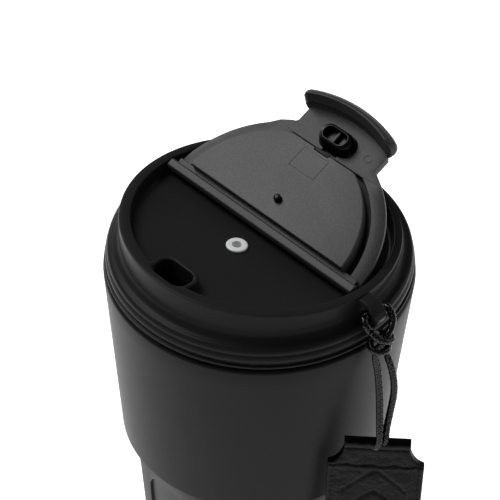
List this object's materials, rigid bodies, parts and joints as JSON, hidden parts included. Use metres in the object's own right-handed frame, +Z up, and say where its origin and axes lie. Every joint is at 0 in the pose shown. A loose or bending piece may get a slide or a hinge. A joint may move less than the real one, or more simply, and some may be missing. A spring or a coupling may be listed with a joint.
{
  "type": "insulated travel mug",
  "caption": "Tapered double-walled travel mug with a screw lid, a flip-up drinking flap, a vent and a corded leather tag.",
  "frame": {"origin": "centre of the base pad's underside, on the mug's axis", "axes": "+Z up along the mug's axis, -Y towards the drinking hole, +X towards the lanyard lug"},
  "size_m": [0.1093, 0.0906, 0.1867],
  "materials": {
    "shell_paint": "fine satin powder coat, charcoal",
    "liner_steel": "electropolished, faint turning marks",
    "seal_glass": "solder glass bead",
    "getter_metal": "sintered, dull",
    "pad_rubber": "matte",
    "sleeve_rubber": "soft touch, matte",
    "lid_plastic": "moulded, satin outside",
    "skirt_plastic": "moulded, smooth",
    "seal_silicone": "translucent silicone",
    "vent_silicone": "translucent white silicone",
    "pin_steel": "ground",
    "flap_plastic": "moulded, fine spark texture",
    "panel_plastic": "moulded, fine spark texture",
    "plug_silicone": "silicone, satin",
    "cord_braid": "round braided, glossy",
    "tag_leather": "embossed, stitched edge",
    "tag_backing": "plain"
  },
  "bodies": {
    "mug": {"outer_shell": "shell_paint", "inner_liner": "liner_steel", "shell_base": "liner_steel", "vacuum_seal": "seal_glass", "vacuum_getter": "getter_metal", "base_pad": "pad_rubber", "grip_sleeve": "sleeve_rubber"},
    "lid_ring": {"lid_gasket": "seal_silicone"},
    "lid": {"lid_cover": "lid_plastic", "lid_skirt": "skirt_plastic", "vent_grommet": "vent_silicone", "hinge_pin_right": "pin_steel", "hinge_pin_left": "pin_steel", "lanyard_lug": "lid_plastic"},
    "flap": {"flap_shell": "flap_plastic", "flap_panel": "panel_plastic", "drink_plug": "plug_silicone", "vent_stopper": "plug_silicone"},
    "lanyard": {"lanyard_loop": "cord_braid", "lanyard_strand_left": "cord_braid", "lanyard_strand_right": "cord_braid", "lanyard_knot": "cord_braid", "tag_front": "tag_leather", "tag_back": "tag_backing"}
  },
  "joints": [
    {"name": "lid_rise", "type": "slide", "parent": "mug", "child": "lid_ring", "axis": [0, 0, 1], "range_m": [0, 0.0075]},
    {"name": "lid_turn", "type": "hinge", "parent": "lid_ring", "child": "lid", "pos_m": [0, 0, 0.152], "axis": [0, 0, 1], "range_deg": [0, 450]},
    {"name": "flap_hinge", "type": "hinge", "parent": "lid", "child": "flap", "pos_m": [0, -0.0004, 0.1648], "axis": [1, 0, 0], "range_deg": [0, 150.4]},
    {"name": "lanyard_swing", "type": "hinge", "parent": "lid", "child": "lanyard", "pos_m": [0.04305, 0, 0.16135], "axis": [0, -1, 0], "range_deg": [0, 75]}
  ],
  "couplings": [
    {"joint": "lid_rise", "follows": "lid_turn", "m_per_rad": 0.00095492}
  ]
}
